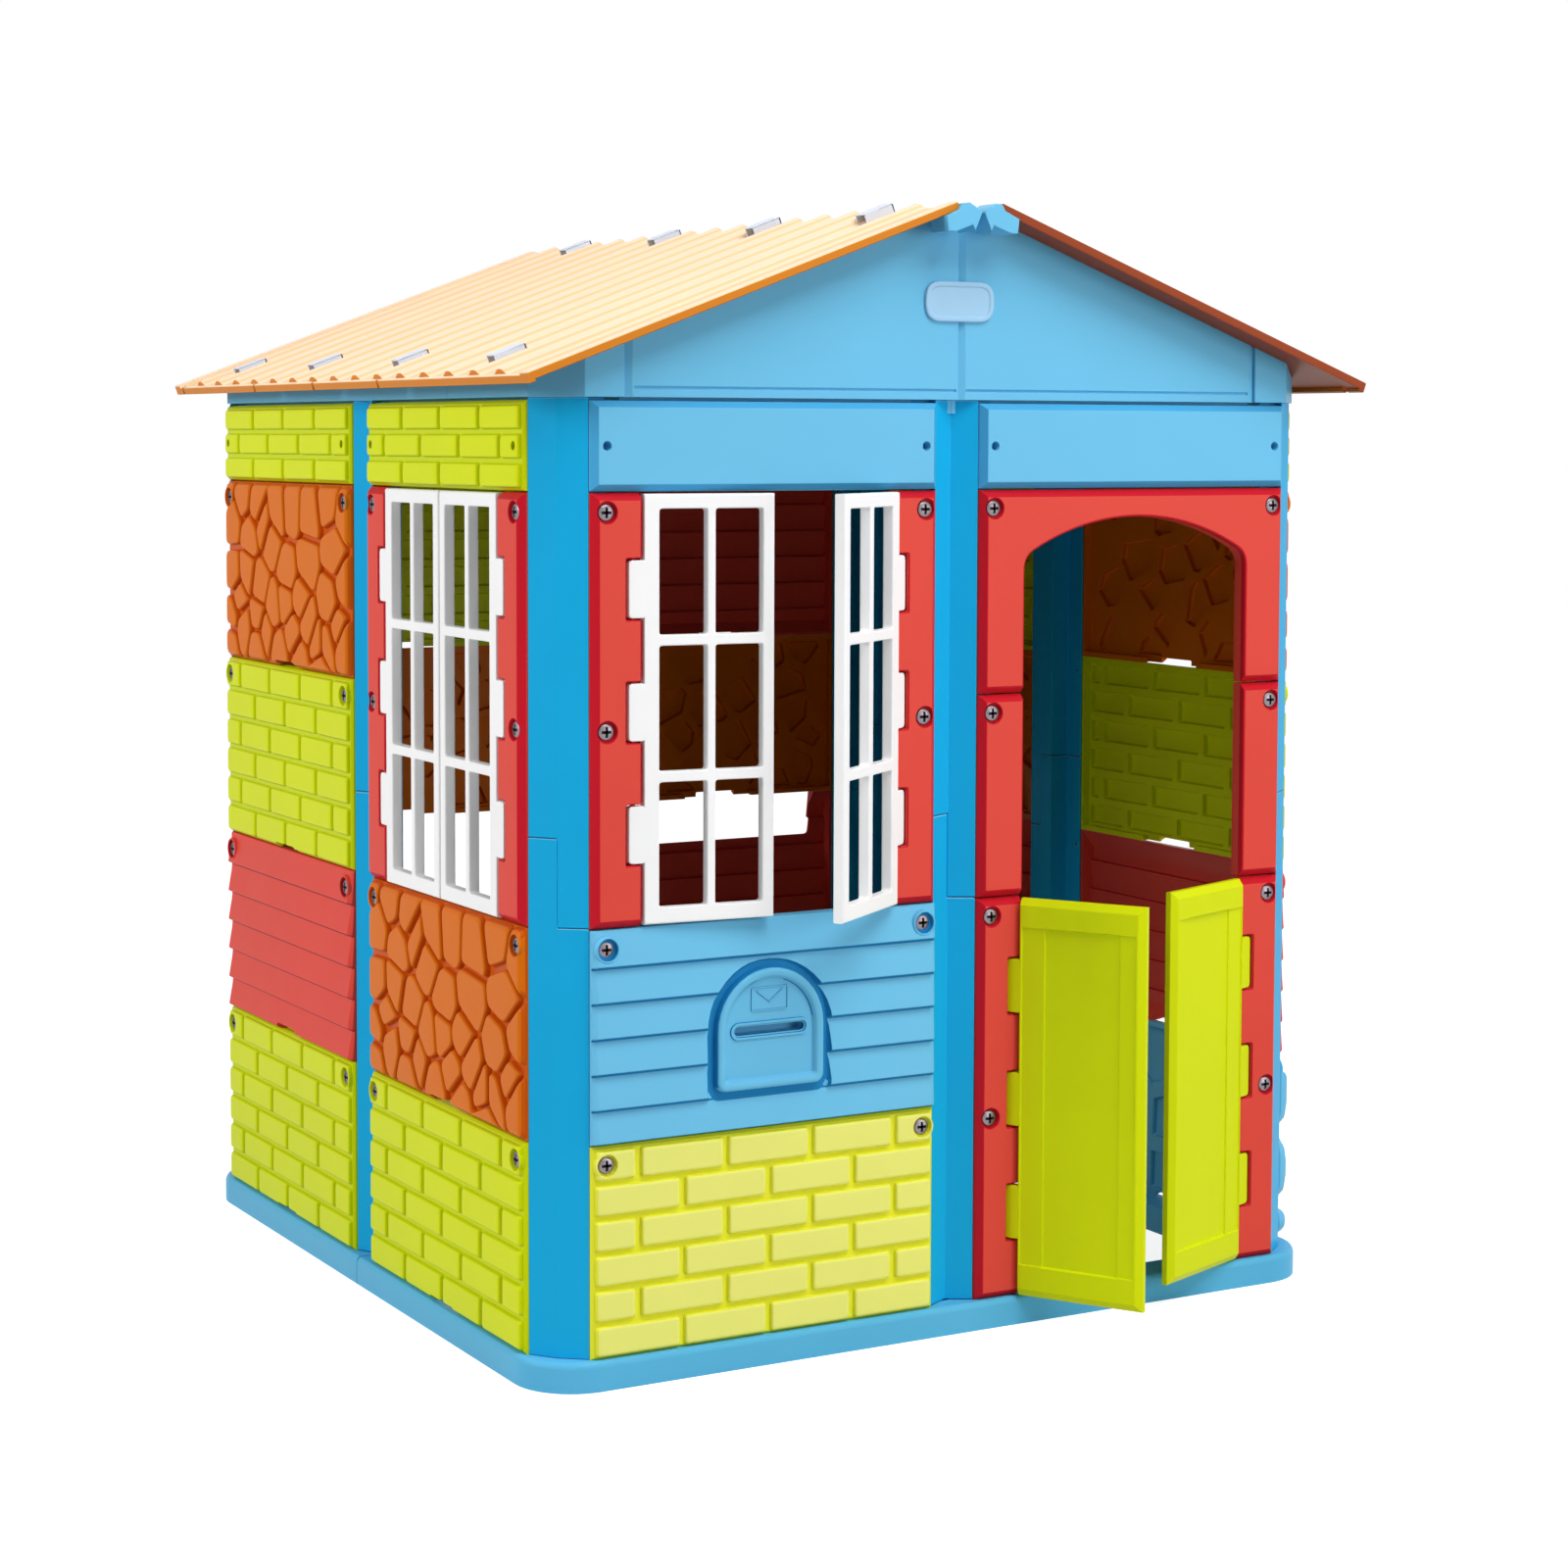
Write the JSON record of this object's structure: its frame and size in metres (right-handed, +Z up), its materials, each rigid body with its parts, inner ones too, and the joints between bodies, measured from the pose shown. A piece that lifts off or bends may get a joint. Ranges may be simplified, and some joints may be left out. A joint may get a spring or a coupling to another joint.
{
  "type": "plastic playhouse",
  "caption": "Moulded plastic playhouse with stacked brick, stone and board panels, half doors, shutters, arched doorway, letter slot and a gabled ribbed roof.",
  "frame": {"origin": "middle of the front base rail's underside, on the ground", "axes": "+Z up, +Y from the front wall to the back wall, +X to the right seen from the front"},
  "size_m": [1.18, 1.2961, 1.3688],
  "materials": {
    "frame_blue": "moulded, satin",
    "panel_blue": "moulded, satin",
    "lime": "moulded, satin",
    "red": "moulded, satin",
    "orange": "moulded, satin",
    "roof_peach": "moulded, satin",
    "shutter_white": "moulded, satin",
    "pale_blue": "moulded, satin",
    "screw_steel": "zinc plated"
  },
  "bodies": {
    "house": {"back_brick_lower": "lime", "back_brick_upper": "lime", "back_jambs": "red", "back_pass_siding": "red", "back_siding_upper": "red", "back_stone_left": "orange", "back_stone_right": "orange", "back_top_bricks": "lime", "badge_plaque": "pale_blue", "base_back": "frame_blue", "base_front": "frame_blue", "corner_caps": "panel_blue", "corner_posts_lower": "frame_blue", "corner_posts_upper": "frame_blue", "door_arch": "red", "door_jamb_left": "red", "door_jamb_right": "red", "eave_beams": "panel_blue", "front_brick_panel": "lime", "front_top_panel_left": "panel_blue", "front_top_panel_right": "panel_blue", "gable_back": "panel_blue", "gable_front_left": "panel_blue", "gable_front_right": "panel_blue", "left_back_brick_lower": "lime", "left_back_brick_upper": "lime", "left_back_siding": "red", "left_back_stone": "orange", "left_front_brick": "lime", "left_front_stone": "orange", "left_top_bricks": "lime", "mailbox_panel": "panel_blue", "middle_jambs": "red", "middle_posts_lower": "frame_blue", "middle_posts_upper": "frame_blue", "panel_screws": "screw_steel", "ridge_beam": "frame_blue", "ridge_brackets": "pale_blue", "right_back_brick_lower": "lime", "right_back_brick_upper": "lime", "right_back_siding": "red", "right_back_stone": "orange", "right_front_brick": "lime", "right_front_rock": "panel_blue", "right_front_siding": "red", "right_front_stone": "orange", "right_top_bricks": "lime", "roof_clips": "pale_blue", "roof_sheet_left": "roof_peach", "roof_sheet_right": "roof_peach", "side_jamb_back": "red", "side_jamb_front": "red", "window_jamb_left": "red", "window_jamb_right": "red"},
    "door_leaf_left": {"door_leaf_left": "lime"},
    "door_leaf_right": {"door_leaf_right": "lime"},
    "front_shutter_left": {"front_shutter_left": "shutter_white"},
    "front_shutter_right": {"front_shutter_right": "shutter_white"},
    "side_shutter_front": {"side_shutter_front": "shutter_white"},
    "side_shutter_back": {"side_shutter_back": "shutter_white"}
  },
  "joints": [
    {"name": "left_door_hinge", "type": "hinge", "parent": "house", "child": "door_leaf_left", "pos_m": [0.084, -0.014, 0.28], "axis": [0, 0, -1], "range_deg": [-58, 52]},
    {"name": "right_door_hinge", "type": "hinge", "parent": "house", "child": "door_leaf_right", "pos_m": [0.438, -0.014, 0.28], "axis": [0, 0, 1], "range_deg": [-21, 89]},
    {"name": "front_left_shutter_hinge", "type": "hinge", "parent": "house", "child": "front_shutter_left", "pos_m": [-0.438, -0.014, 0.776], "axis": [0, 0, -1], "range_deg": [-5, 105]},
    {"name": "front_right_shutter_hinge", "type": "hinge", "parent": "house", "child": "front_shutter_right", "pos_m": [-0.084, -0.014, 0.776], "axis": [0, 0, 1], "range_deg": [-36, 74]},
    {"name": "side_back_shutter_hinge", "type": "hinge", "parent": "house", "child": "side_shutter_back", "pos_m": [-0.546, 0.448, 0.776], "axis": [0, 0, -1], "range_deg": [0, 110]},
    {"name": "side_front_shutter_hinge", "type": "hinge", "parent": "house", "child": "side_shutter_front", "pos_m": [-0.546, 0.094, 0.776], "axis": [0, 0, 1], "range_deg": [0, 110]}
  ]
}
